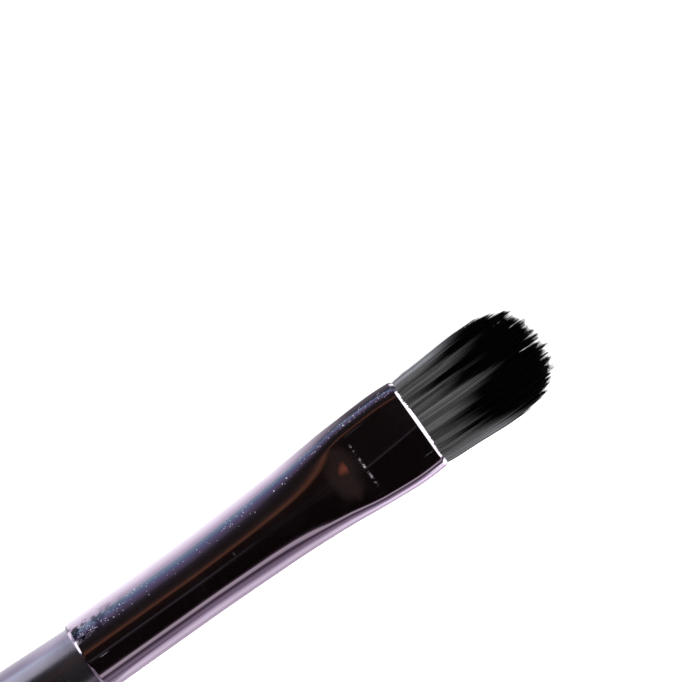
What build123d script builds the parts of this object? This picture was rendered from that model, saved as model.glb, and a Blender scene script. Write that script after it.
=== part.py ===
from build123d import *
import os
from math import cos, radians, sin

# Flat brush with a domed tuft, lying on a surface. Millimetres.
# +X runs from the handle's tail to the tuft's tip, +Y across the tuft's width and +Z up,
# square to the flattened mouth of the ferrule. The origin is on the surface, under the
# middle of the brush. The brush's own axis is parallel to X.

# Lengths along the axis
HANDLE_LENGTH = 119.5  # what shows of the handle behind the ferrule
FERRULE_LENGTH = 33.3
TUFT_LENGTH = 12.2  # what shows of the filaments in front of the ferrule
BRUSH_LENGTH = HANDLE_LENGTH + FERRULE_LENGTH + TUFT_LENGTH

# Ferrule: one drawn tube, round at the handle and pressed flat at its mouth
TUBE_DIAMETER = 6.5
TUBE_WALL = 0.3
ROUND_LENGTH = 10.3  # the stretch at the handle that is left a true cylinder
DIE_LENGTH = 5.8  # the stretch at the mouth that the pressing die made flat
DIE_LINE_WIDTH = 8.1
WIDEST_BEHIND = 2.2
WIDEST_WIDTH = 8.45
MOUTH_WIDTH = 8.25
PRESSED_THICKNESS = 3.36
PRESSED_HALF_ANGLE = 8  # of the crown that springs back in the pressed stretch
FLAT_THICKNESS = 3.26  # over the two narrow flats that the die strikes on the crowns
LIP_BEVEL = 0.22
REAR_BEVEL = 0.1
# Sections between the cylinder and the die's line: distance behind the mouth, width,
# thickness, and the half angle of the top and bottom arcs in degrees
ROUND_HALF_ANGLE = 45
TRANSITION = [
    (17.5, 6.75, 6.25, 42),
    (13.0, 7.08, 5.80, 32),
    (9.0, 7.60, 4.85, 18),
]

# Handle: turned wood with a tenon, under a soft-touch coating
FRONT_RADIUS = 2.94
BELLY_RADIUS = 4.1
TAIL_RADIUS = 2.2
BELLY_BEHIND_FERRULE = 38.0
FRONT_SLOPE = 0.04  # how fast the radius grows just behind the ferrule
TAIL_SLOPE = 0.025  # how fast it shrinks just before the rounded tail
COATING = 0.14
COATING_UNDER_FERRULE = 1.2
TENON_LENGTH = 9.6
TENON_CHAMFER = 0.5

# Inside the ferrule, as distances behind the mouth
TENON_GLUE_BEAD = 0.5  # thickness of the glue pushed up over the tenon's end
ROOT_GLUE_REAR = 17.0
ROOT_GLUE_FRONT = 9.4
ROOT_REAR = 13.2
ROOT_FRONT = 0.6
ROOT_TAIL_WIDTH = 5.2  # the soaked ends of the filaments, which the glue closes round
ROOT_TAIL_THICKNESS = 2.6

# Tuft: the free filaments meet the gripped ones at a rounded knuckle in the mouth, and
# the tuft bends about the knuckle's axis
KNUCKLE_RADIUS = 1.05
KNUCKLE_HALF_LENGTH = 3.4
KNUCKLE_CLEARANCE = 0.15
NECK = (0.5, 7.4, 1.9)  # distance in front of the mouth, width, thickness
SHOULDER = (1.2, 8.1, 3.0)
DOME_START = 7.3  # where the sides stop spreading and the dome begins
TUFT_WIDTH = 8.9
TUFT_THICKNESS = 4.2
DOME_POWER = 2.3  # 2 is an ellipse, and more is a blunter dome
DOME_SHARES = [0.35, 0.6, 0.78, 0.9, 0.97, 0.995]  # places along the dome's length
TUFT_HALF_ANGLE = 14

MOUTH_X = BRUSH_LENGTH / 2 - TUFT_LENGTH
FERRULE_REAR_X = MOUTH_X - FERRULE_LENGTH
BELLY_X = FERRULE_REAR_X - BELLY_BEHIND_FERRULE
TAIL_X = -BRUSH_LENGTH / 2
TENON_END_X = FERRULE_REAR_X + TENON_LENGTH
AXIS_Z = BELLY_RADIUS


def oval(x, width, thickness, half_angle):
    """A section square to the axis at x: flatter top and bottom arcs joined by rounder
    side arcs, all tangent."""
    angle = radians(half_angle)
    half_width, half_height = width / 2, thickness / 2
    spread = (half_width - half_height) / (sin(angle) + cos(angle) - 1)
    side_radius = half_width - spread * sin(angle)
    join_y = (spread + side_radius) * sin(angle)
    join_z = side_radius * cos(angle)

    def at(y, z):
        return (x, y, AXIS_Z + z)

    def cap(sign):
        start, end = at(-sign * join_y, sign * join_z), at(sign * join_y, sign * join_z)
        return ThreePointArc(start, at(0, sign * half_height), end)

    def side(sign):
        start, end = at(sign * join_y, sign * join_z), at(sign * join_y, -sign * join_z)
        return ThreePointArc(start, at(sign * half_width, 0), end)

    return Wire([cap(1), side(1), cap(-1), side(-1)])


def rod(radius, x_start, x_end):
    """A cylinder along the brush's axis."""
    centre = Pos((x_start + x_end) / 2, 0, AXIS_Z)
    return centre * Rot(0, 90, 0) * Cylinder(radius, x_end - x_start)


def block(x_start, x_end, width=20.0, thickness=20.0):
    """A box centred on the brush's axis between two X positions."""
    centre = Pos((x_start + x_end) / 2, 0, AXIS_Z)
    return centre * Box(x_end - x_start, width, thickness)


def tube_body(inset=0.0):
    """The solid inside the ferrule's outer surface or, if inset is the wall, its bore,
    which runs past both ends."""
    overrun = 1.0 if inset else 0.0

    def section(behind, width, thickness, half_angle=PRESSED_HALF_ANGLE):
        return oval(MOUTH_X - behind, width - 2 * inset, thickness - 2 * inset, half_angle)

    round_end = FERRULE_REAR_X + ROUND_LENGTH
    straight = rod(TUBE_DIAMETER / 2 - inset, FERRULE_REAR_X - overrun, round_end)
    cylinder_end = section(
        FERRULE_LENGTH - ROUND_LENGTH, TUBE_DIAMETER, TUBE_DIAMETER, ROUND_HALF_ANGLE
    )
    die_line = section(DIE_LENGTH, DIE_LINE_WIDTH, PRESSED_THICKNESS)
    between = [section(*row) for row in TRANSITION]
    pressed = [die_line, section(WIDEST_BEHIND, WIDEST_WIDTH, PRESSED_THICKNESS)]
    if inset:
        pressed.append(section(-overrun, MOUTH_WIDTH, PRESSED_THICKNESS))
    else:
        pressed.append(section(LIP_BEVEL, MOUTH_WIDTH, PRESSED_THICKNESS))
        bevelled = MOUTH_WIDTH - 2 * LIP_BEVEL, PRESSED_THICKNESS - 2 * LIP_BEVEL
        pressed.append(section(0, *bevelled))
        straight = chamfer(straight.edges().sort_by(Axis.X)[0], REAR_BEVEL)
    transition = Solid.make_loft([cylinder_end, *between, die_line])
    return straight + transition + Solid.make_loft(pressed, ruled=True)


def ferrule(bore):
    """The metal tube, with the die's two flats struck square to Z."""
    die_start = MOUTH_X - DIE_LENGTH
    struck = block(die_start, MOUTH_X + 1) - block(die_start, MOUTH_X + 1, 30, FLAT_THICKNESS)
    return tube_body() - struck - bore


def handle_profile(inset):
    """Half of the handle's lengthwise section, behind the ferrule and under it as far as
    the coating goes, with the surface moved inwards by inset."""
    front, belly, tail = (r - inset for r in (FRONT_RADIUS, BELLY_RADIUS, TAIL_RADIUS))
    tail_tip_x = TAIL_X + inset
    tail_x = TAIL_X + TAIL_RADIUS
    under_x = FERRULE_REAR_X + COATING_UNDER_FERRULE
    in_ferrule = Line((under_x, 0, front), (FERRULE_REAR_X, 0, front))
    swell = Spline(
        (FERRULE_REAR_X, 0, front),
        (BELLY_X, 0, belly),
        tangents=[(-1, 0, FRONT_SLOPE), (-1, 0, 0)],
    )
    taper = Spline(
        (BELLY_X, 0, belly), (tail_x, 0, tail), tangents=[(-1, 0, 0), (-1, 0, -TAIL_SLOPE)]
    )
    bulge = tail * sin(radians(45))
    tail_end = ThreePointArc(
        (tail_x, 0, tail), (tail_x - bulge, 0, bulge), (tail_tip_x, 0, 0)
    )
    closing = Polyline((tail_tip_x, 0, 0), (under_x, 0, 0), (under_x, 0, front))
    outline = Wire([in_ferrule, swell, taper, tail_end, *closing.edges()])
    return Pos(0, 0, AXIS_Z) * Face(outline)


def handle_body(inset=0.0):
    """The handle's solid of revolution, without its tenon."""
    return revolve(handle_profile(inset), Axis((0, 0, AXIS_Z), (1, 0, 0)))


def wood(inner_body):
    """The turned wood: the body under the coating, and the tenon."""
    radius = FRONT_RADIUS - COATING
    tenon = rod(radius, FERRULE_REAR_X, TENON_END_X)
    tenon = chamfer(tenon.edges().sort_by(Axis.X)[-1], TENON_CHAMFER)
    return inner_body + tenon


def tenon_glue(bore, handle_wood):
    """The film of glue between the tenon and the ferrule, and the bead over its end."""
    start = FERRULE_REAR_X + COATING_UNDER_FERRULE
    end = TENON_END_X + TENON_GLUE_BEAD
    return (bore & block(start, end)) - handle_wood


def gripped_root(bore):
    """The filaments inside the ferrule: they fill its bore at the front, end in a narrower
    tail in the glue, and are hollowed out at the mouth round the tuft's knuckle."""
    front = bore & block(MOUTH_X - ROOT_GLUE_FRONT, MOUTH_X - ROOT_FRONT)
    tail = block(
        MOUTH_X - ROOT_REAR,
        MOUTH_X - ROOT_GLUE_FRONT,
        ROOT_TAIL_WIDTH,
        ROOT_TAIL_THICKNESS,
    )
    pocket = Pos(MOUTH_X, 0, AXIS_Z) * Rot(90, 0, 0) * Cylinder(
        KNUCKLE_RADIUS + KNUCKLE_CLEARANCE, TUBE_DIAMETER * 2
    )
    return front + tail - pocket


def root_glue(bore, root):
    """The block of epoxy that fills the ferrule round and behind the filaments' ends."""
    return (bore & block(MOUTH_X - ROOT_GLUE_REAR, MOUTH_X - ROOT_GLUE_FRONT)) - root


def knuckle():
    """A round-ended bar across the mouth, whose axis the tuft bends about."""
    half_straight = KNUCKLE_HALF_LENGTH - KNUCKLE_RADIUS
    bar = Rot(90, 0, 0) * Cylinder(KNUCKLE_RADIUS, 2 * half_straight)
    ends = [Pos(0, side * half_straight, 0) * Sphere(KNUCKLE_RADIUS) for side in (-1, 1)]
    return Pos(MOUTH_X, 0, AXIS_Z) * (bar + ends[0] + ends[1])


def tuft():
    """The free filaments as one plain solid: knuckle, neck, spreading sides and dome."""

    def section(ahead, width, thickness):
        return oval(MOUTH_X + ahead, width, thickness, TUFT_HALF_ANGLE)

    dome_length = (TUFT_LENGTH - DOME_START) / DOME_SHARES[-1]
    sections = [section(*NECK), section(*SHOULDER)]
    sections.append(section(DOME_START, TUFT_WIDTH, TUFT_THICKNESS))
    for share in DOME_SHARES:
        left = (1 - share**DOME_POWER) ** (1 / DOME_POWER)
        ahead = DOME_START + share * dome_length
        sections.append(section(ahead, TUFT_WIDTH * left, TUFT_THICKNESS * left))
    return knuckle() + Solid.make_loft(sections, ruled=True)


def main():
    os.makedirs("parts", exist_ok=True)
    bore = tube_body(TUBE_WALL)
    inner_body = handle_body(COATING)
    handle_wood = wood(inner_body)
    root = gripped_root(bore)
    nodes = {
        "handle_wood": handle_wood,
        "handle_coating": handle_body() - inner_body,
        "handle_glue": tenon_glue(bore, handle_wood),
        "ferrule": ferrule(bore),
        "root_glue": root_glue(bore, root),
        "tuft_root": root,
        "tuft": tuft(),
    }
    for name, shape in nodes.items():
        export_step(shape, f"parts/{name}.step")
        box = shape.bounding_box()
        print(name, f"{shape.volume:.1f} mm3", box.min, box.max)


main()
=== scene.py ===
import math

import bmesh
import bpy
import numpy as np
from mathutils import Matrix, Vector


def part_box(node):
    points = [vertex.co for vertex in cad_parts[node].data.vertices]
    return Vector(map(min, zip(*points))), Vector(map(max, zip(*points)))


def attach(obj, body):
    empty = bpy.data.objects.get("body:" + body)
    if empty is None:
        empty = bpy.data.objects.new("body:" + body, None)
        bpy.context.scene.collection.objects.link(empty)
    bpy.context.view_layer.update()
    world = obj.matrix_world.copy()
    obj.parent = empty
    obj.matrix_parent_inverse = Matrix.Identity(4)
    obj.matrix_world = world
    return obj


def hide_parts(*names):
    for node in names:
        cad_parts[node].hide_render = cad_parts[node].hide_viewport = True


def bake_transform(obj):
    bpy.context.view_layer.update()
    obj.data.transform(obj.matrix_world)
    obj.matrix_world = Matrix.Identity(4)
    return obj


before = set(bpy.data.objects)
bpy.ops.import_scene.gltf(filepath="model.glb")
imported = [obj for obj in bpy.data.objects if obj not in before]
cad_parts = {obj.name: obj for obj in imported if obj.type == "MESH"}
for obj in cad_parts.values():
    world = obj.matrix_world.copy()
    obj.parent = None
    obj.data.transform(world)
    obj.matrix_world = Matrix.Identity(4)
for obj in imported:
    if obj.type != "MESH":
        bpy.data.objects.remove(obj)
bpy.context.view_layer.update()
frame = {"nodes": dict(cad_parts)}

MM = 0.001

# ---------------------------------------------------------------- sizes from the frame
ferrule_low, ferrule_high = (Vector(corner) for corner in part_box("ferrule"))
handle_low, handle_high = (Vector(corner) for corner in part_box("handle_coating"))
tuft_high = Vector(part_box("tuft")[1])

MOUTH_X = ferrule_high.x
FERRULE_REAR_X = ferrule_low.x
TIP_X = tuft_high.x
TAIL_X = handle_low.x
AXIS_Z = (ferrule_low.z + ferrule_high.z) / 2
TUFT_LENGTH = TIP_X - MOUTH_X
BELLY_RADIUS = (handle_high.z - handle_low.z) / 2
MOUTH = Vector((MOUTH_X, 0.0, AXIS_Z))
DIE_STOP = 5.8 * MM  # behind the mouth, where the die that pressed it flat stopped

# ---------------------------------------------------------------- the photograph's view
# The camera looks almost straight down, and the brush's axis is tilted in the picture.
AXIS_TILT = math.radians(35.36)  # of the brush in the picture, above level
VIEW_ROLL = math.radians(5.5)  # of the view about the brush's axis, towards +Y
CAMERA_HEIGHT = 0.47
PIXEL = 0.08125 * MM  # size of a picture element at the brush
PICTURE = 682
MOUTH_RIGHT_OF_CENTRE = 79.6 * PIXEL
MOUTH_BELOW_CENTRE = 80.9 * PIXEL


# ---------------------------------------------------------------- mesh and node helpers
def new_mesh_object(name, points, faces, smooth=True, uv=None):
    """An object from arrays: points (n, 3), faces as equal-length index rows, and a UV
    per point if given."""
    faces = np.asarray(faces, np.int32)
    count, corners = faces.shape
    mesh = bpy.data.meshes.new(name)
    mesh.vertices.add(len(points))
    mesh.vertices.foreach_set("co", np.asarray(points, np.float32).ravel())
    mesh.loops.add(count * corners)
    mesh.loops.foreach_set("vertex_index", faces.ravel())
    mesh.polygons.add(count)
    mesh.polygons.foreach_set("loop_start", np.arange(count, dtype=np.int32) * corners)
    mesh.polygons.foreach_set("loop_total", np.full(count, corners, np.int32))
    mesh.polygons.foreach_set("use_smooth", np.full(count, smooth))
    mesh.update(calc_edges=True)
    if uv is not None:
        layer = mesh.uv_layers.new(name="OFBake")
        layer.data.foreach_set("uv", np.asarray(uv, np.float32)[faces.ravel()].ravel())
    mesh.validate()
    made = bpy.data.objects.new(name, mesh)
    bpy.context.scene.collection.objects.link(made)
    return made


def grid_faces(rows, columns):
    """Quads between rows of points, each row a ring."""
    row = np.arange(rows - 1)[:, None] * columns
    column = np.arange(columns)[None, :]
    after = (column + 1) % columns
    quad = [row + column, row + after, row + columns + after, row + columns + column]
    return np.stack(quad, -1).reshape(-1, 4)


class Nodes:
    """A short way to build a node tree: each call adds a node, sets values and links."""

    def __init__(self, tree):
        self.tree = tree
        tree.nodes.clear()

    def add(self, kind, settings=None, **inputs):
        node = self.tree.nodes.new(kind)
        for name, value in (settings or {}).items():
            setattr(node, name, value)
        for name, value in inputs.items():
            self.feed(node.inputs[self.socket(node, name)], value)
        return node

    @staticmethod
    def socket(node, name):
        if name.startswith("i") and name[1:].isdigit():
            return int(name[1:])
        return name.replace("_", " ")

    def feed(self, socket, value):
        if isinstance(value, bpy.types.NodeSocket):
            self.tree.links.new(value, socket)
        else:
            socket.default_value = value

    def math(self, operation, a, b=0.0):
        return self.add("ShaderNodeMath", {"operation": operation}, i0=a, i1=b).outputs[0]

    def ramp(self, factor, stops, interpolation="LINEAR"):
        """Colours at (place, colour) stops; a plain number is a grey."""
        node = self.add("ShaderNodeValToRGB", None, Fac=factor)
        node.color_ramp.interpolation = interpolation
        elements = node.color_ramp.elements
        while len(elements) < len(stops):
            elements.new(1.0)
        for element, (place, colour) in zip(elements, stops):
            grey = isinstance(colour, (int, float))
            element.position = place
            element.color = (colour, colour, colour, 1) if grey else (*colour, 1)
        return node.outputs["Color"]

    def spread(self, value, low, high, new_low=0.0, new_high=1.0):
        """value moved from low..high to new_low..new_high, and kept there."""
        limits = {"i1": low, "i2": high, "i3": new_low, "i4": new_high}
        node = self.add("ShaderNodeMapRange", {"clamp": True}, Value=value, **limits)
        return node.outputs[0]

    def between(self, value, rise, fall):
        """1 between two pairs of limits: it rises over the first and falls over the other."""
        return self.math("MULTIPLY", self.spread(value, *rise), self.spread(value, *fall, 1.0, 0.0))

    def near(self, value, middle, full, none, strength=1.0):
        """strength where value is within full of the middle, fading out at none from it."""
        off = self.math("ABSOLUTE", self.math("SUBTRACT", value, middle))
        return self.spread(off, full, none, strength, 0.0)

    def mix(self, factor, a, b):
        node = self.add("ShaderNodeMix", {"data_type": "RGBA"}, i0=factor)
        self.feed(node.inputs[6], a)
        self.feed(node.inputs[7], b)
        return node.outputs[2]

    def noise(self, vector, scale, detail=2.0):
        node = self.add("ShaderNodeTexNoise", None, Vector=vector, Scale=scale, Detail=detail)
        return node.outputs[0]

    def bump(self, height, distance, strength=1.0):
        node = self.add("ShaderNodeBump", None, Height=height, Distance=distance, Strength=strength)
        return node.outputs[0]


def new_material(name):
    material = bpy.data.materials.new(name)
    material.use_nodes = True
    nodes = Nodes(material.node_tree)
    shader = nodes.add("ShaderNodeBsdfPrincipled")
    output = nodes.add("ShaderNodeOutputMaterial")
    nodes.feed(output.inputs["Surface"], shader.outputs[0])
    return material, nodes, shader


def stretched(nodes, x=1.0, y=1.0, z=1.0):
    """Object coordinates in metres, multiplied along each axis."""
    place = nodes.add("ShaderNodeTexCoord").outputs["Object"]
    mapping = nodes.add("ShaderNodeMapping", None, Vector=place, Scale=(x, y, z))
    return mapping.outputs[0]


def dress(thing, material):
    thing.data.materials.clear()
    thing.data.materials.append(material)


def linear(*levels):
    """A colour given as 0 to 255 screen levels, in linear light."""
    shares = [level / 255 for level in levels]
    return tuple(s / 12.92 if s <= 0.04045 else ((s + 0.055) / 1.055) ** 2.4 for s in shares)


# ---------------------------------------------------------------- camera
def make_camera():
    roll = Matrix.Rotation(-VIEW_ROLL, 3, "X")
    right = roll @ Vector((math.cos(AXIS_TILT), -math.sin(AXIS_TILT), 0))
    up = roll @ Vector((math.sin(AXIS_TILT), math.cos(AXIS_TILT), 0))
    back = roll @ Vector((0, 0, 1))
    data = bpy.data.cameras.new("camera")
    data.sensor_width = 36.0
    data.lens = data.sensor_width * CAMERA_HEIGHT / (PICTURE * PIXEL)
    data.clip_start, data.clip_end = 0.01, 20.0
    camera = bpy.data.objects.new("camera", data)
    centre = MOUTH - right * MOUTH_RIGHT_OF_CENTRE + up * MOUTH_BELOW_CENTRE
    turn = Matrix((right, up, back)).transposed().to_4x4()
    camera.matrix_world = Matrix.Translation(centre + back * CAMERA_HEIGHT) @ turn
    bpy.context.scene.collection.objects.link(camera)
    bpy.context.scene.camera = camera


# ---------------------------------------------------------------- floor, light, world
FLOOR_HALF_SIZE = 6.0
FLOOR_EMISSION = 0.35
SUN_IRRADIANCE = 2.8
SUN_WIDTH = math.radians(24)
METAL_SHARE = 0.6  # of the light that the ferrule gives back

# What the polished metal sees round the brush's axis: degrees from the view's direction,
# towards -Y, and the screen levels that it then shows
SURROUNDINGS = [
    (-96, (135, 145, 160)),
    (-87, (111, 128, 146)),
    (-79, (90, 101, 129)),
    (-68, (84, 76, 102)),
    (-58, (64, 58, 72)),
    (-50, (36, 31, 37)),
    (-36, (24, 20, 20)),
    (-26, (30, 23, 22)),
    (-21, (46, 32, 28)),
    (-16, (76, 49, 35)),
    (-13, (60, 38, 28)),
    (-10, (20, 11, 9)),
    (0, (18, 11, 10)),
    (5, (13, 9, 9)),
    (8, (24, 21, 23)),
    (11, (50, 46, 50)),
    (14, (20, 17, 18)),
    (18, (9, 6, 6)),
    (55, (9, 4, 4)),
    (61, (40, 33, 38)),
    (65, (158, 146, 154)),
    (71, (150, 138, 148)),
    (76, (60, 49, 59)),
    (81, (58, 47, 57)),
    (86, (98, 86, 100)),
    (95, (124, 111, 128)),
    (108, (134, 121, 139)),
]

# What it sees of the floor: millimetres from the axis, towards +Y, and the same levels
FLOOR_GLOW = [
    (-120, (124, 111, 128)),
    (-45, (146, 133, 150)),
    (-30, (172, 160, 177)),
    (-21, (194, 183, 198)),
    (-13, (206, 197, 209)),
    (-8.6, (171, 158, 173)),
    (-4, (160, 148, 163)),
    (0, (150, 142, 155)),
    (5, (240, 236, 242)),
    (8, (228, 222, 232)),
    (11, (215, 206, 219)),
    (14, (196, 185, 201)),
    (20, (177, 170, 185)),
    (33, (150, 155, 169)),
    (50, (118, 133, 150)),
    (120, (110, 128, 147)),
]
REAR_SLANT = 0.066  # of the line that the ferrule's rear end mirrors as its edge
FRONT_GLOW = 2.3  # brightness of the soft light beyond the tuft
HAZE = (34, 26, 24)  # that the metal shows of the air in front
WARM_GLOW = (106, 59, 43)  # and of a small warm patch there


def mirrored_light(*levels):
    """The light that shows in the polished metal as these screen levels."""
    return tuple(level / METAL_SHARE for level in linear(*levels))


def glow_stops(table, low, high):
    """Stops for a ramp that runs from low to high."""
    return [((place - low) / (high - low), mirrored_light(*levels)) for place, levels in table]


# Where that glow is stronger or weaker. The first pair are two places in millimetres: X
# from the ferrule's rear end or from its mouth, or Y from the axis. The second pair are
# the factors there
BEHIND_FERRULE_X = (-0.2, -1.2)  # where the floor beside the handle begins
NEAR_FERRULE_X = (-5.0, -1.0), (1.35, 2.1)
BESIDE_HANDLE_Y = (6.0, 14.0)  # from NEAREST_FACTOR up to what NEAR_FERRULE_X gives
NEAREST_FACTOR = 1.05
FAR_FROM_HANDLE_Y = (16.0, 36.0), (1.0, 2.2)
SIDE_OF_HANDLE_Y = (-1.0, 1.0), (0.5, 1.0)
NEAR_MOUTH_X = (-13.0, -5.0)  # where the next two come in
BESIDE_MOUTH_Y = (2.0, 4.5), (1.0, 0.12)
NEAR_SIDE_OF_MOUTH_Y = (-20.0, -6.0), (1.7, 1.0)
IN_FRONT_X = (0.8, 2.5)  # where the white glow comes in
IN_FRONT_Y = (7.0, 12.0), (1.0, 0.0)


def floor_glow(nodes, x, y):
    """Colour and strength of what the polished metal mirrors of the floor."""

    def factor(place, start, span, factors=(0.0, 1.0)):
        low, high = span
        return nodes.spread(place, start + low * MM, start + high * MM, *factors)

    low, high = FLOOR_GLOW[0][0], FLOOR_GLOW[-1][0]
    across = nodes.spread(y, low * MM, high * MM)
    colour = nodes.ramp(across, glow_stops(FLOOR_GLOW, low, high))

    slanted = nodes.math("ADD", x, nodes.math("MULTIPLY", y, REAR_SLANT))
    behind = factor(slanted, FERRULE_REAR_X, BEHIND_FERRULE_X)
    near_ferrule = factor(x, FERRULE_REAR_X, *NEAR_FERRULE_X)
    beside_handle = factor(y, 0.0, BESIDE_HANDLE_Y, (NEAREST_FACTOR, near_ferrule))
    for place_and_factor in (FAR_FROM_HANDLE_Y, SIDE_OF_HANDLE_Y):
        beside_handle = nodes.math("MULTIPLY", beside_handle, factor(y, 0.0, *place_and_factor))

    near_mouth = factor(x, MOUTH_X, NEAR_MOUTH_X)
    beside_mouth = factor(y, 0.0, *BESIDE_MOUTH_Y)
    beside_mouth = nodes.math("MULTIPLY", beside_mouth, factor(y, 0.0, *NEAR_SIDE_OF_MOUTH_Y))
    strength = nodes.math(
        "MULTIPLY",
        nodes.spread(behind, 0.0, 1.0, 1.0, beside_handle),
        nodes.spread(near_mouth, 0.0, 1.0, 1.0, beside_mouth),
    )

    in_front = nodes.math("MULTIPLY", factor(x, MOUTH_X, IN_FRONT_X), factor(y, 0.0, *IN_FRONT_Y))
    strength = nodes.spread(in_front, 0.0, 1.0, strength, FRONT_GLOW)
    return nodes.mix(in_front, colour, (1, 1, 1, 1)), strength


def make_floor():
    """White in daylight. What the polished metal mirrors of it darkens away from the
    brush, is brighter beside the handle and white beyond the mouth."""
    half = FLOOR_HALF_SIZE
    corners = [(-half, -half, 0), (half, -half, 0), (half, half, 0), (-half, half, 0)]
    floor = new_mesh_object("floor", corners, [(0, 1, 2, 3)], smooth=False)
    material, nodes, shader = new_material("floor")
    place = stretched(nodes)
    cloud = nodes.noise(place, 3.0)
    nodes.feed(shader.inputs["Base Color"], nodes.ramp(cloud, [(0.3, 0.9), (0.7, 0.93)]))
    shader.inputs["Roughness"].default_value = 0.9
    shader.inputs["Specular IOR Level"].default_value = 0.1
    shader.inputs["Emission Color"].default_value = (1, 1, 1, 1)
    shader.inputs["Emission Strength"].default_value = FLOOR_EMISSION
    parts = nodes.add("ShaderNodeSeparateXYZ", None, Vector=place)
    colour, strength = floor_glow(nodes, parts.outputs["X"], parts.outputs["Y"])
    mirrored = nodes.add("ShaderNodeEmission", None, Color=colour, Strength=strength)
    is_mirrored = nodes.add("ShaderNodeLightPath").outputs["Is Glossy Ray"]
    both = nodes.add("ShaderNodeMixShader", None, i0=is_mirrored)
    nodes.feed(both.inputs[1], shader.outputs[0])
    nodes.feed(both.inputs[2], mirrored.outputs[0])
    output = material.node_tree.nodes["Material Output"]
    nodes.feed(output.inputs["Surface"], both.outputs[0])
    dress(floor, material)


SIDE_PANEL_LENGTH = 118 * MM
SIDE_PANEL_HEIGHT = 27 * MM
SIDE_PANEL_Y = 32 * MM
SIDE_PANEL_BEHIND_FERRULE = 2 * MM
SIDE_PANEL_ABOVE_FLOOR = 1 * MM
SIDE_PANEL_RADIANCE = 1.75


def make_lights():
    """A wide soft sun overhead, and a panel that lights the handle from +Y."""
    sun = bpy.data.lights.new("overhead", "SUN")
    sun.energy = SUN_IRRADIANCE
    sun.angle = SUN_WIDTH
    lamp = bpy.data.objects.new("overhead", sun)
    lamp.location = (0, 0, 1)
    lamp.visible_glossy = False
    bpy.context.scene.collection.objects.link(lamp)

    panel = bpy.data.lights.new("side_panel", "AREA")
    panel.shape = "RECTANGLE"
    panel.size, panel.size_y = SIDE_PANEL_LENGTH, SIDE_PANEL_HEIGHT
    panel.energy = SIDE_PANEL_RADIANCE * math.pi * SIDE_PANEL_LENGTH * SIDE_PANEL_HEIGHT
    beside = bpy.data.objects.new("side_panel", panel)
    middle = FERRULE_REAR_X - SIDE_PANEL_BEHIND_FERRULE - SIDE_PANEL_LENGTH / 2
    beside.location = (middle, SIDE_PANEL_Y, SIDE_PANEL_HEIGHT / 2 + SIDE_PANEL_ABOVE_FLOOR)
    beside.rotation_euler = (math.radians(-90), 0, 0)
    beside.visible_camera = False
    bpy.context.scene.collection.objects.link(beside)


# Parts of the room ahead of the brush, each between limits of the direction's X, Y or Z
# at which it comes in or fades
LINE_ANGLE = math.radians(11)  # of the table's faint line, which is covered ahead
LINE_EDGE = math.radians(2), math.radians(4)
LINE_COVERED_X = (0.005, 0.05)
LINE_COVER = (15, 10, 10)
HAZE_FROM_X, HAZE_FROM_Z = (0.28, 0.4), (0.6, 0.75)
WARM_FROM_X, WARM_TO_X = (0.45, 0.5), (0.56, 0.6)
WARM_MIDDLE_Y, WARM_ASIDE = -0.01, (0.0, 0.08)
FRONT_FROM_X, FRONT_ASIDE = (0.62, 0.68), (0.56, 0.66)
FRONT_LOW_GLOW = 0.5  # brightness of the front glow near the floor
FRONT_RISE_Z = (0.2, 0.35)


def mirrored_room(nodes, direction):
    """The colour that the polished metal sees in each direction."""
    parts = nodes.add("ShaderNodeSeparateXYZ", None, Vector=direction)
    x, y, z = parts.outputs
    angle = nodes.math("ARCTAN2", nodes.math("MULTIPLY", y, -1.0), z)
    from_view = nodes.math("ADD", angle, VIEW_ROLL)
    low, high = SURROUNDINGS[0][0], SURROUNDINGS[-1][0]
    place = nodes.spread(from_view, math.radians(low), math.radians(high))
    room = nodes.ramp(place, glow_stops(SURROUNDINGS, low, high))

    cover = nodes.near(from_view, LINE_ANGLE, *LINE_EDGE)
    cover = nodes.math("MULTIPLY", cover, nodes.spread(x, *LINE_COVERED_X))
    room = nodes.mix(cover, room, (*mirrored_light(*LINE_COVER), 1))

    hazy = nodes.math("MULTIPLY", nodes.spread(x, *HAZE_FROM_X), nodes.spread(z, *HAZE_FROM_Z))
    room = nodes.mix(hazy, room, (*mirrored_light(*HAZE), 1))

    warmth = nodes.between(x, WARM_FROM_X, WARM_TO_X)
    warmth = nodes.math("MULTIPLY", warmth, nodes.near(y, WARM_MIDDLE_Y, *WARM_ASIDE))
    room = nodes.mix(warmth, room, (*mirrored_light(*WARM_GLOW), 1))

    front = nodes.math("MULTIPLY", nodes.spread(x, *FRONT_FROM_X), nodes.near(y, 0.0, *FRONT_ASIDE))
    front_glow = nodes.spread(z, *FRONT_RISE_Z, FRONT_LOW_GLOW, FRONT_GLOW)
    return nodes.mix(front, room, front_glow)


def make_world():
    """A white room. In polished metal it is a dark ceiling instead, with pale strips
    along both sides, which the tube mirrors as lengthwise bands, and a soft light in
    front."""
    world = bpy.data.worlds.new("studio")
    bpy.context.scene.world = world
    world.use_nodes = True
    nodes = Nodes(world.node_tree)
    direction = nodes.add("ShaderNodeTexCoord").outputs["Generated"]
    room = mirrored_room(nodes, direction)
    is_mirrored = nodes.add("ShaderNodeLightPath").outputs["Is Glossy Ray"]
    colour = nodes.mix(is_mirrored, (1, 1, 1, 1), room)
    background = nodes.add("ShaderNodeBackground", None, Color=colour, Strength=1.0)
    output = nodes.add("ShaderNodeOutputWorld")
    nodes.feed(output.inputs["Surface"], background.outputs[0])


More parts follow.
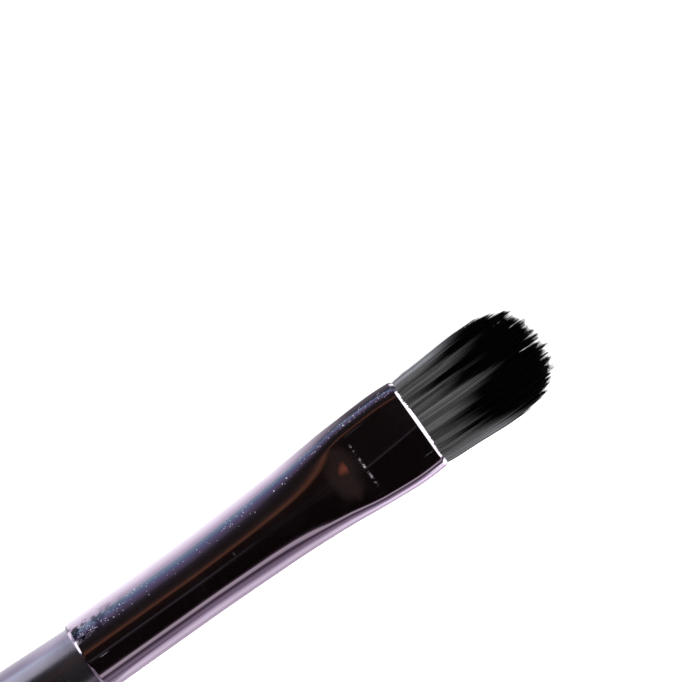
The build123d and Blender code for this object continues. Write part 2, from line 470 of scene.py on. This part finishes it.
# ---------------------------------------------------------------- materials
# Short scratches in the metal: lengthwise distance behind the mouth, Y, half length
# and half width in millimetres, and strength
SCRATCHES = [
    (31.7, -0.15, 0.5, 0.05, 0.16),
    (18.45, 0.35, 0.04, 0.24, 0.1),
    (0.9, -2.32, 0.6, 0.04, 0.06),
]
# Dust: cells to the metre, share of them with a grain in it, and its size in the cell
DUST = [(9000.0, 0.06, 0.42), (6400.0, 0.05, 0.38), (4200.0, 0.015, 0.38)]
DUST_COLOUR = (0.3, 0.33, 0.42, 1)
REAR_DUST = 5.0  # times as much more at the rear end
MOUTH_DUST = 4.0  # and near the mouth
SCRATCH_COLOUR = (0.6, 0.57, 0.62, 1)
DIE_LINE_STRENGTH = 0.3
BLOTCH_COLOUR = (0.03, 0.03, 0.045, 1)
# How far the surface is turned towards +Y, as limits between which each comes and goes
DUST_SLANT = (0.48, 0.62), (0.76, 0.88)
BLOTCH_SLANT = (0.44, 0.56), (0.84, 0.94)


def ferrule_material():
    """Black nickel: nearly a mirror, with a faint lengthwise drawing grain, scratches,
    a dotted line where the die stopped, smudges and a few grains of dust."""
    material, nodes, shader = new_material("black_nickel")
    place = stretched(nodes)
    parts = nodes.add("ShaderNodeSeparateXYZ", None, Vector=place)
    x, y, z = parts.outputs
    grain = nodes.noise(stretched(nodes, 0.02, 1.0, 1.0), 9000.0, 3.0)
    smudge = nodes.noise(place, 260.0, 4.0)

    facing = nodes.add("ShaderNodeTexCoord").outputs["Normal"]
    slant = nodes.add("ShaderNodeSeparateXYZ", None, Vector=facing).outputs["Y"]
    on_top = nodes.spread(z, AXIS_Z, AXIS_Z + 0.3 * MM)
    near_rear = nodes.spread(x, FERRULE_REAR_X + 6 * MM, FERRULE_REAR_X + 1 * MM)
    near_mouth = nodes.spread(x, MOUTH_X - 14 * MM, MOUTH_X - 4 * MM)
    crowd = nodes.math("ADD", nodes.math("MULTIPLY", near_rear, REAR_DUST), 1.0)
    crowd = nodes.math("ADD", nodes.math("MULTIPLY", near_mouth, MOUTH_DUST), crowd)
    crowd = nodes.math("MULTIPLY", crowd, nodes.between(slant, *DUST_SLANT))
    crowd = nodes.math("MULTIPLY", crowd, on_top)
    grains = 0.0
    for scale, share, radius in DUST:
        cells = nodes.add("ShaderNodeTexVoronoi", None, Vector=place, Scale=scale)
        chance = nodes.add("ShaderNodeSeparateXYZ", None, Vector=cells.outputs["Color"])
        wanted = nodes.math("MULTIPLY", crowd, share)
        chosen = nodes.math("LESS_THAN", chance.outputs["X"], wanted)
        dot = nodes.spread(cells.outputs[0], 0.4 * radius, radius, 1.0, 0.0)
        dot = nodes.math("MULTIPLY", dot, chance.outputs["Y"])
        dot = nodes.math("MULTIPLY", chosen, dot)
        grains = nodes.math("MAXIMUM", dot, grains)

    lines = 0.0
    for behind, middle, half_length, half_width, strength in SCRATCHES:
        scratch_x, reach_x, reach_y = MOUTH_X - behind * MM, half_length * MM, half_width * MM
        along = nodes.near(x, scratch_x, 0.3 * reach_x, reach_x, strength)
        across = nodes.near(y, middle * MM, 0.3 * reach_y, reach_y)
        scratch = nodes.math("MULTIPLY", nodes.math("MULTIPLY", along, across), on_top)
        lines = nodes.math("MAXIMUM", scratch, lines)
    die_line = nodes.near(x, MOUTH_X - DIE_STOP, 0.03 * MM, 0.13 * MM, DIE_LINE_STRENGTH)
    die_line = nodes.math("MULTIPLY", die_line, nodes.near(y, 0.0, 1.6 * MM, 2.1 * MM))
    dots = nodes.spread(nodes.noise(stretched(nodes, 0.5, 1.0, 0.2), 3200.0, 1.0), 0.45, 0.75)
    lines = nodes.math("MAXIMUM", nodes.math("MULTIPLY", die_line, dots), lines)
    marks = nodes.math("MAXIMUM", grains, lines)

    roughness = nodes.math("MULTIPLY_ADD", grain, 0.03)
    roughness.node.inputs[2].default_value = 0.04
    roughness = nodes.math("ADD", roughness, nodes.spread(smudge, 0.5, 0.75, 0.0, 0.06))
    nodes.feed(shader.inputs["Roughness"], nodes.math("MAXIMUM", roughness, marks))
    tint = nodes.ramp(smudge, [(0.35, (0.54, 0.49, 0.55)), (0.7, (0.6, 0.55, 0.62))])
    blotch = nodes.spread(nodes.noise(place, 1500.0, 3.0), 0.45, 0.55)
    blotch = nodes.math("MULTIPLY", blotch, nodes.between(slant, *BLOTCH_SLANT))
    blotch = nodes.math("MULTIPLY", nodes.math("MULTIPLY", blotch, near_rear), 0.95)
    tint = nodes.mix(blotch, tint, BLOTCH_COLOUR)
    tint = nodes.mix(grains, tint, DUST_COLOUR)
    nodes.feed(shader.inputs["Base Color"], nodes.mix(lines, tint, SCRATCH_COLOUR))
    nodes.feed(shader.inputs["Metallic"], nodes.math("SUBTRACT", 1.0, marks))
    nodes.feed(shader.inputs["Normal"], nodes.bump(grain, 0.0004 * MM, 0.5))
    return material


# Painted sheen: a lighter tint that makes the coat beside the ferrule reflect more brightly
PAINTED_SHEEN_TINT = (0.3, 0.285, 0.34, 1)


def handle_material():
    """A satin metallic coat, with a painted sheen: a lighter tint beside the ferrule brightens its
    reflection there.
    """
    material, nodes, shader = new_material("satin_coating")
    place = stretched(nodes)
    fine = nodes.noise(place, 14000.0, 3.0)
    patch = nodes.noise(place, 180.0, 4.0)
    tint = nodes.ramp(patch, [(0.3, (0.20, 0.19, 0.23)), (0.7, (0.23, 0.215, 0.26))])
    x = nodes.add("ShaderNodeSeparateXYZ", None, Vector=place).outputs["X"]
    # painted sheen over the few millimetres behind the ferrule
    painted_sheen = nodes.spread(x, FERRULE_REAR_X - 4.5 * MM, FERRULE_REAR_X - 0.3 * MM)
    tint = nodes.mix(painted_sheen, tint, PAINTED_SHEEN_TINT)
    nodes.feed(shader.inputs["Base Color"], tint)
    shader.inputs["Metallic"].default_value = 0.99
    nodes.feed(shader.inputs["Roughness"], nodes.spread(patch, 0.3, 0.7, 0.24, 0.29))
    nodes.feed(shader.inputs["Normal"], nodes.bump(fine, 0.004 * MM, 0.6))
    return material


TIP_BLACK = (0.0003, 0.0003, 0.0004, 1)
DYE_EDGE = (0.12, 0.46)  # shares of the tuft's length between which grey turns black


def filament_material():
    """Dyed filaments. Along the UV's U runs each filament's tone, paler near the tuft's edges
    as painted sheen, and along V its length: grey at the mouth, black in the outer half."""
    material, nodes, shader = new_material("filaments")
    uv = nodes.add("ShaderNodeUVMap", {"uv_map": "OFBake"}).outputs[0]
    parts = nodes.add("ShaderNodeSeparateXYZ", None, Vector=uv)
    tone, along = parts.outputs["X"], parts.outputs["Y"]
    # the palest, bluish tones come mostly from the painted sheen at the tuft's edges
    grey = nodes.ramp(
        tone,
        [
            (0.0, (0.008, 0.008, 0.009)),
            (0.3, (0.030, 0.0295, 0.0305)),
            (0.6, (0.078, 0.075, 0.076)),
            (1.0, (0.29, 0.30, 0.34)),
        ],
    )
    dye = nodes.ramp(nodes.spread(along, *DYE_EDGE), [(0.0, 0.0), (1.0, 1.0)], "EASE")
    colour = nodes.mix(dye, grey, TIP_BLACK)
    nodes.feed(shader.inputs["Base Color"], colour)
    shader.inputs["Roughness"].default_value = 0.55
    shader.inputs["Specular IOR Level"].default_value = 0.06
    return material


def plain_material(name, dark, light, roughness, scale, x_stretch=1.0, bump=0.01):
    """A matt or glossy inner material with mottling or grain of its own."""
    material, nodes, shader = new_material(name)
    mottle = nodes.noise(stretched(nodes, x_stretch, 1.0, 1.0), scale, 4.0)
    nodes.feed(shader.inputs["Base Color"], nodes.ramp(mottle, [(0.3, dark), (0.7, light)]))
    shader.inputs["Roughness"].default_value = roughness
    nodes.feed(shader.inputs["Normal"], nodes.bump(mottle, bump * MM, 0.5))
    return material


# ---------------------------------------------------------------- ferrule
TUBE_WALL = 0.3 * MM
# How the mouth's lip is turned in: millimetres from the end and below the tube's surface
TURNED_END = [
    (0.44, 0.0),
    (0.41, 0.002),
    (0.375, 0.012),
    (0.32, 0.035),
    (0.2, 0.092),
    (0.1, 0.142),
    (0.05, 0.175),
    (0.02, 0.205),
    (0.005, 0.245),
    (0.0, 0.28),
]
REAR_TURN = 0.65  # of that length, over which the rear end is turned in as deep
# The flat faces meet in a faint ridge, which fades out behind the die's stop
RIDGE_END = 7.4 * MM  # behind the mouth
RIDGE_SOFTNESS = 0.12 * MM
RIDGE_Y = 0.12 * MM  # at the mouth
RIDGE_SLANT = 0.09
# Distance behind the mouth, width, thickness, sideways shift, all in millimetres, and
# the half angle of the top and bottom arcs in degrees
FERRULE_SECTIONS = [
    (0.0, 8.25, 3.33, 0.0, 8),
    (2.2, 8.45, 3.33, 0.0, 8),
    (5.8, 8.10, 3.36, 0.05, 8),
    (6.1, 8.06, 3.44, 0.06, 9),
    (7.0, 7.94, 3.76, 0.08, 11),
    (8.0, 7.78, 4.27, 0.1, 14.5),
    (9.0, 7.60, 4.70, 0.11, 18),
    (13.0, 7.08, 5.80, 0.1, 32),
    (17.5, 6.75, 6.25, 0.05, 42),
    (23.0, 6.5, 6.5, 0.0, 45),
    (33.3, 6.5, 6.5, 0.0, 45),
]
POINTS_PER_ARC = 64
RINGS_OUTSIDE = 260
RINGS_AT_DIE_STOP = 30
RINGS_IN_BORE = 60


def smooth_through(places, values, wanted):
    """A curve through the values that doesn't overshoot between them."""
    places, values = np.asarray(places, float), np.asarray(values, float)
    gaps = np.diff(places)
    chords = np.diff(values) / gaps
    rising = chords[:-1] * chords[1:] > 0
    total = np.where(rising, chords[:-1] + chords[1:], 1.0)
    slopes = np.zeros(len(values))
    slopes[1:-1] = np.where(rising, 2 * chords[:-1] * chords[1:] / total, 0.0)
    slopes[0], slopes[-1] = chords[0], chords[-1]
    which = np.clip(np.searchsorted(places, wanted) - 1, 0, len(gaps) - 1)
    share = np.clip((wanted - places[which]) / gaps[which], 0, 1)
    low, high = values[which], values[which + 1]
    leaving = slopes[which] * gaps[which]
    arriving = slopes[which + 1] * gaps[which]
    cubic = 2 * low + leaving - 2 * high + arriving
    square = -3 * low - 2 * leaving + 3 * high - arriving
    return cubic * share**3 + square * share**2 + leaving * share + low


def oval_ring(width, thickness, half_angle, inset, ridge, ridge_y):
    """Points (y, z) round a four-arc oval about the axis, moved inwards by inset. The top
    and bottom arcs turn into two flats that meet at a ridge at ridge_y, as ridge goes
    from 0 to 1."""
    angle = math.radians(half_angle)
    spread = (width - thickness) / 2 / (math.sin(angle) + math.cos(angle) - 1)
    side_radius = width / 2 - spread * math.sin(angle)
    cap_drop, side_shift = spread * math.cos(angle), spread * math.sin(angle)
    arcs = [
        (math.pi / 2, angle, side_radius + spread, (0, -cap_drop)),
        (0, math.pi / 2 - angle, side_radius, (side_shift, 0)),
        (-math.pi / 2, angle, side_radius + spread, (0, cap_drop)),
        (-math.pi, math.pi / 2 - angle, side_radius, (-side_shift, 0)),
    ]
    rings = []
    for middle, half_span, radius, (centre_y, centre_z) in arcs:
        ends = middle + half_span, middle - half_span
        turns = np.linspace(*ends, POINTS_PER_ARC, endpoint=False)
        around = np.stack([np.cos(turns), np.sin(turns)], 1) * (radius - inset)
        if half_span == angle:
            reach = (radius - inset) * math.sin(angle)
            off = np.hypot(around[:, 0] - ridge_y, RIDGE_SOFTNESS) - RIDGE_SOFTNESS
            roof = (radius - inset) * (1 - off / reach * (1 - math.cos(angle)))
            side = math.sin(middle)
            around[:, 1] += ridge * (roof * side - around[:, 1])
        rings.append(around + (centre_y, centre_z))
    return np.concatenate(rings)


def make_ferrule():
    """The drawn tube: outside from the handle to the mouth, round the lip, and back
    along the bore."""
    length = MOUTH_X - FERRULE_REAR_X
    turned_b, turned_inset = (np.array(TURNED_END) * MM).T
    start, stop = length - 1.05 * REAR_TURN * turned_b[0], 1.05 * turned_b[0]
    even_b = np.linspace(start, stop, RINGS_OUTSIDE)
    near_die = DIE_STOP + np.linspace(-0.3, 0.6, RINGS_AT_DIE_STOP) * MM
    middle_b = np.sort(np.concatenate([even_b, near_die]))[::-1]
    bore_b = np.linspace(0, length, RINGS_IN_BORE)
    rear_b = length - REAR_TURN * turned_b[::-1]
    behind = np.concatenate([rear_b, middle_b, turned_b, bore_b])
    bore_inset = np.full(RINGS_IN_BORE, TUBE_WALL)
    flush = np.zeros(len(middle_b))
    inset = np.concatenate([turned_inset[::-1], flush, turned_inset, bore_inset])
    table = np.array(FERRULE_SECTIONS)
    place = table[:, 0] * MM
    width = smooth_through(place, table[:, 1] * MM, behind)
    thickness = smooth_through(place, table[:, 2] * MM, behind)
    shift = smooth_through(place, table[:, 3] * MM, behind)
    half_angle = smooth_through(place, table[:, 4], behind)
    ridge = np.interp(behind, [DIE_STOP, RIDGE_END], [1, 0])
    ridge_y = RIDGE_Y - RIDGE_SLANT * behind
    sections = zip(width, thickness, half_angle, inset, ridge, ridge_y)
    rings = []
    for b, aside, section in zip(behind, shift, sections):
        ring = oval_ring(*section)
        lengthwise = np.full((len(ring), 1), MOUTH_X - b)
        rings.append(np.hstack([lengthwise, ring + (aside, AXIS_Z)]))
    columns = 4 * POINTS_PER_ARC
    faces = grid_faces(len(rings) + 1, columns) % (len(rings) * columns)
    ferrule = new_mesh_object("ferrule_tube", np.concatenate(rings), faces)
    dress(ferrule, ferrule_material())
    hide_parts("ferrule")
    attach(ferrule, "brush_body")


# ---------------------------------------------------------------- handle
FRONT_RADIUS = 2.94 * MM
TAIL_RADIUS = 2.2 * MM
BELLY_BEHIND_FERRULE = 38.0 * MM
FRONT_SLOPE = 0.04
TAIL_SLOPE = 0.025
UNDER_FERRULE = 1.2 * MM
AROUND_HANDLE = 160
RINGS_ON_SWELL = 90
RINGS_ON_TAPER = 160
RINGS_ON_DOME = 24


def hermite(start, end, start_slope, end_slope, count):
    """Radius from start to end, each (distance, radius), with those slopes at the ends."""
    span = end[0] - start[0]
    share = np.linspace(0, 1, count)
    rise = start[1] * (2 * share**3 - 3 * share**2 + 1) + end[1] * (3 * share**2 - 2 * share**3)
    bend = start_slope * (share**3 - 2 * share**2 + share) + end_slope * (share**3 - share**2)
    return start[0] + span * share, rise + span * bend


def make_handle():
    """The coated handle: it swells behind the ferrule, tapers and ends in a dome."""
    length = FERRULE_REAR_X - TAIL_X
    tail_start = length - TAIL_RADIUS
    belly = (BELLY_BEHIND_FERRULE, BELLY_RADIUS)
    swell = hermite((0, FRONT_RADIUS), belly, FRONT_SLOPE, 0, RINGS_ON_SWELL)
    tail = (tail_start, TAIL_RADIUS)
    taper = hermite(belly, tail, 0, -TAIL_SLOPE, RINGS_ON_TAPER)
    turn = np.linspace(0, math.pi / 2, RINGS_ON_DOME)[1:]
    dome = tail_start + TAIL_RADIUS * np.sin(turn), TAIL_RADIUS * np.cos(turn)
    under = np.array([-UNDER_FERRULE, -UNDER_FERRULE]), np.array([0, FRONT_RADIUS])
    behind = np.concatenate([under[0], swell[0], taper[0][1:], dome[0]])
    radius = np.concatenate([under[1], swell[1], taper[1][1:], dome[1]])
    around = np.linspace(0, 2 * math.pi, AROUND_HANDLE, endpoint=False)
    rings = []
    for b, r in zip(behind, radius):
        lengthwise = np.full(AROUND_HANDLE, FERRULE_REAR_X - b)
        rings.append(np.stack([lengthwise, r * np.cos(around), AXIS_Z + r * np.sin(around)], 1))
    faces = grid_faces(len(rings), AROUND_HANDLE)
    handle = new_mesh_object("handle_skin", np.concatenate(rings), faces)
    weld(handle)
    dress(handle, handle_material())
    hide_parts("handle_coating")
    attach(handle, "brush_body")


def weld(thing):
    """Joins the points that lie in one place, as at the middle of an end."""
    work = bmesh.new()
    work.from_mesh(thing.data)
    bmesh.ops.remove_doubles(work, verts=work.verts, dist=1e-8)
    bmesh.ops.recalc_face_normals(work, faces=work.faces)
    work.to_mesh(thing.data)
    work.free()


# ---------------------------------------------------------------- tuft
SEED = 11
FILAMENTS = 3600
FILAMENT_PIECES = 3
FILAMENT_RADIUS = 0.046 * MM
FILAMENT_SIDES = 3
FILAMENT_STEPS = 11
ROOT_DEPTH = 0.8 * MM
DOME_START = 7.3 * MM
DOME_POWER = 2.3
# Distance in front of the mouth, width and thickness over the outermost filaments
TUFT_SECTIONS = [
    (-1.0, 7.55, 2.62),
    (0.0, 7.6, 2.7),
    (0.35, 8.05, 3.0),
    (2.0, 8.16, 3.5),
    (4.0, 8.4, 4.0),
    (5.8, 8.62, 4.1),
    (7.3, 8.68, 3.75),
    (9.5, 8.64, 2.75),
    (12.2, 8.55, 1.3),
]
WIDE_LOCKS = 110  # that share a tone and a length of grey
TIP_LOCKS = 220  # that share a tip
WIDE_ASPECT = 0.45  # of a gap through the tuft, beside one across it, in a lock
TIP_ASPECT = 0.25
TIP_CLEARANCE = 0.3 * MM  # of the dome's middle behind the tuft's full length
FACE_SHORTENING = 0.5 * MM  # of the filaments on the flat faces
LOCK_SCATTER = 0.26 * MM  # of where the locks end
OWN_SCATTER = 0.19 * MM  # and of where the filaments of a lock end
# Painted sheen: filaments near the tuft's edges get paler tones and stay grey for longer
SHEEN_EDGE_WIDTH = 0.26  # of the paler edges, in shares across
FILAMENT_TAPER = [0, 0.6, 0.85, 1.0], [1, 0.95, 0.62, 0.12]  # places, and radius there


def tuft_size(ahead):
    """Width and thickness over the filaments at each distance in front of the mouth."""
    table = np.array(TUFT_SECTIONS)
    width = smooth_through(table[:, 0] * MM, table[:, 1] * MM, ahead)
    thickness = smooth_through(table[:, 0] * MM, table[:, 2] * MM, ahead)
    return width, thickness


def section_place(across, through, width, thickness):
    """(y, z) of shares across and through (-1 to 1) a round-sided flat section."""
    y = across * width / 2
    half = thickness / 2
    over = np.clip(np.abs(y) - (width / 2 - half), 0, half)
    return y, through * np.sqrt(np.maximum(half**2 - over**2, 0))


def gather_in_locks(random, across, through, count, aspect):
    """Gives each filament to the nearest of the locks at random places. Returns what each
    filament has from its lock: the lock's place, and its own tone, lean and reach."""
    locks = {
        "across": random.uniform(-1, 1, count),
        "through": random.uniform(-1, 1, count),
        "tone": random.normal(0, 1, count),
        "lean": random.normal(0, 1, count),
        "reach": random.normal(0, 1, count),
    }
    gap = (across[:, None] - locks["across"]) ** 2
    gap += aspect**2 * (through[:, None] - locks["through"]) ** 2
    nearest = gap.argmin(1)
    return {name: values[nearest] for name, values in locks.items()}


def filament_reach(random, across, through, tips):
    """How far in front of the mouth each filament ends."""
    dome = (1 - np.abs(across) ** DOME_POWER) ** (1 / DOME_POWER)
    reach = DOME_START + (TUFT_LENGTH - TIP_CLEARANCE - DOME_START) * dome
    reach -= FACE_SHORTENING * np.abs(through) ** 3
    reach += LOCK_SCATTER * tips["reach"]
    reach -= OWN_SCATTER * random.exponential(1, FILAMENTS).clip(0, 3)
    return np.minimum(reach, TUFT_LENGTH)


def filament_colours(across, wide, tips, own):
    """Each filament's tone, and the share of the tuft's length by which it stays grey
    for longer than most. Both rise near the tuft's edges as painted sheen."""
    # painted sheen: tone and grey length rise towards both edges of the tuft
    far_edge_sheen = ((across - 0.74) / SHEEN_EDGE_WIDTH).clip(0, 1) ** 1.5
    near_edge_sheen = ((-across - 0.66) / SHEEN_EDGE_WIDTH).clip(0, 1) ** 1.3
    tone = 0.42 + 0.42 * far_edge_sheen + 0.1 * near_edge_sheen
    tone += 0.10 * wide["tone"] + 0.07 * tips["tone"] + 0.05 * own[0]
    grey_length = 0.085 * wide["reach"] * (1 - 0.7 * near_edge_sheen)
    grey_length += 0.05 * tips["lean"] + 0.02 * own[3] + 0.34 * near_edge_sheen
    grey_length += 0.05 * far_edge_sheen
    return tone.clip(0.02, 0.98), grey_length


def filament_paths(random, across, through, ahead, share, wide, tips, own):
    """(y, z) along each filament, from its root to its tip. The filaments of a lock
    gather towards the tip, and the tuft closes there."""
    width, thickness = tuft_size(ahead)
    gather = 0.56 * share**7
    gather_through = 0.15 * share**5
    wander = share**2
    a = across[:, None] + (tips["across"] - across)[:, None] * gather
    c = through[:, None] + (tips["through"] - through)[:, None] * gather_through
    lean = 0.014 * wide["lean"] + 0.018 * tips["lean"] + 0.006 * own[1]
    a = a + lean[:, None] * wander
    c = c + 0.04 * own[2][:, None] * wander
    c = c * (1 - random.uniform(0, 0.9, FILAMENTS)[:, None] * share**3)
    return section_place(a.clip(-1, 1), c.clip(-1, 1), width, thickness)


def make_filaments():
    """The tuft's filaments, each a thin three-sided stalk of its own, in a few pieces."""
    random = np.random.default_rng(SEED)
    across = np.sign(random.uniform(-1, 1, FILAMENTS)) * random.uniform(0, 1, FILAMENTS) ** 0.9
    depth = random.uniform(0, 1, FILAMENTS) ** 0.45
    through = np.sign(random.uniform(-1, 1, FILAMENTS)) * depth
    wide = gather_in_locks(random, across, through, WIDE_LOCKS, WIDE_ASPECT)
    tips = gather_in_locks(random, across, through, TIP_LOCKS, TIP_ASPECT)
    reach = filament_reach(random, across, through, tips)
    own = random.normal(0, 1, (4, FILAMENTS))
    tone, grey_length = filament_colours(across, wide, tips, own)

    share = np.linspace(0, 1, FILAMENT_STEPS) ** 0.9
    ahead = -ROOT_DEPTH + (reach[:, None] + ROOT_DEPTH) * share
    along = (ahead / TUFT_LENGTH - grey_length[:, None]).clip(0, 1)
    y, z = filament_paths(random, across, through, ahead, share, wide, tips, own)

    thin = np.interp(share, *FILAMENT_TAPER)
    radius = FILAMENT_RADIUS * thin * random.uniform(0.8, 1.15, (FILAMENTS, 1))
    turns = np.arange(FILAMENT_SIDES) * 2 * math.pi / FILAMENT_SIDES
    turns = turns + random.uniform(0, 2 * math.pi, (FILAMENTS, 1))
    shape = FILAMENTS, FILAMENT_STEPS, FILAMENT_SIDES
    points = np.empty((*shape, 3))
    points[..., 0] = MOUTH_X + ahead[:, :, None]
    points[..., 1] = y[:, :, None] + radius[:, :, None] * np.cos(turns)[:, None, :]
    points[..., 2] = AXIS_Z + z[:, :, None] + radius[:, :, None] * np.sin(turns)[:, None, :]
    uv = np.empty((*shape, 2))
    uv[..., 0] = tone[:, None, None]
    uv[..., 1] = 0.01 + 0.98 * along[:, :, None]

    order = np.argsort(across)
    material = filament_material()
    one = grid_faces(FILAMENT_STEPS, FILAMENT_SIDES)
    points_each = FILAMENT_STEPS * FILAMENT_SIDES
    for piece, chosen in enumerate(np.array_split(order, FILAMENT_PIECES)):
        starts = np.arange(len(chosen))[:, None, None] * points_each
        faces = (one[None] + starts).reshape(-1, 4)
        name = f"filaments_{piece + 1}"
        made = new_mesh_object(
            name, points[chosen].reshape(-1, 3), faces, uv=uv[chosen].reshape(-1, 2)
        )
        dress(made, material)
        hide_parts("tuft")
        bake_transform(made)


# ---------------------------------------------------------------- inner parts
def dress_inner_parts():
    nodes = frame["nodes"]
    wood = plain_material("turned_wood", (0.5, 0.33, 0.18), (0.66, 0.48, 0.29), 0.6, 1500.0, 0.06)
    glue = plain_material("wood_glue", (0.7, 0.6, 0.38), (0.8, 0.72, 0.52), 0.35, 900.0)
    epoxy = plain_material("epoxy", (0.4, 0.26, 0.08), (0.55, 0.4, 0.16), 0.2, 700.0)
    root = plain_material("gripped", (0.05, 0.05, 0.055), (0.16, 0.16, 0.17), 0.6, 9000.0, 0.02)
    dress(nodes["handle_wood"], wood)
    dress(nodes["handle_glue"], glue)
    dress(nodes["root_glue"], epoxy)
    dress(nodes["tuft_root"], root)


make_camera()
make_floor()
make_lights()
make_world()
make_ferrule()
make_handle()
make_filaments()
dress_inner_parts()

bpy.context.scene.view_settings.view_transform = "Standard"
bpy.context.scene.view_settings.look = "None"
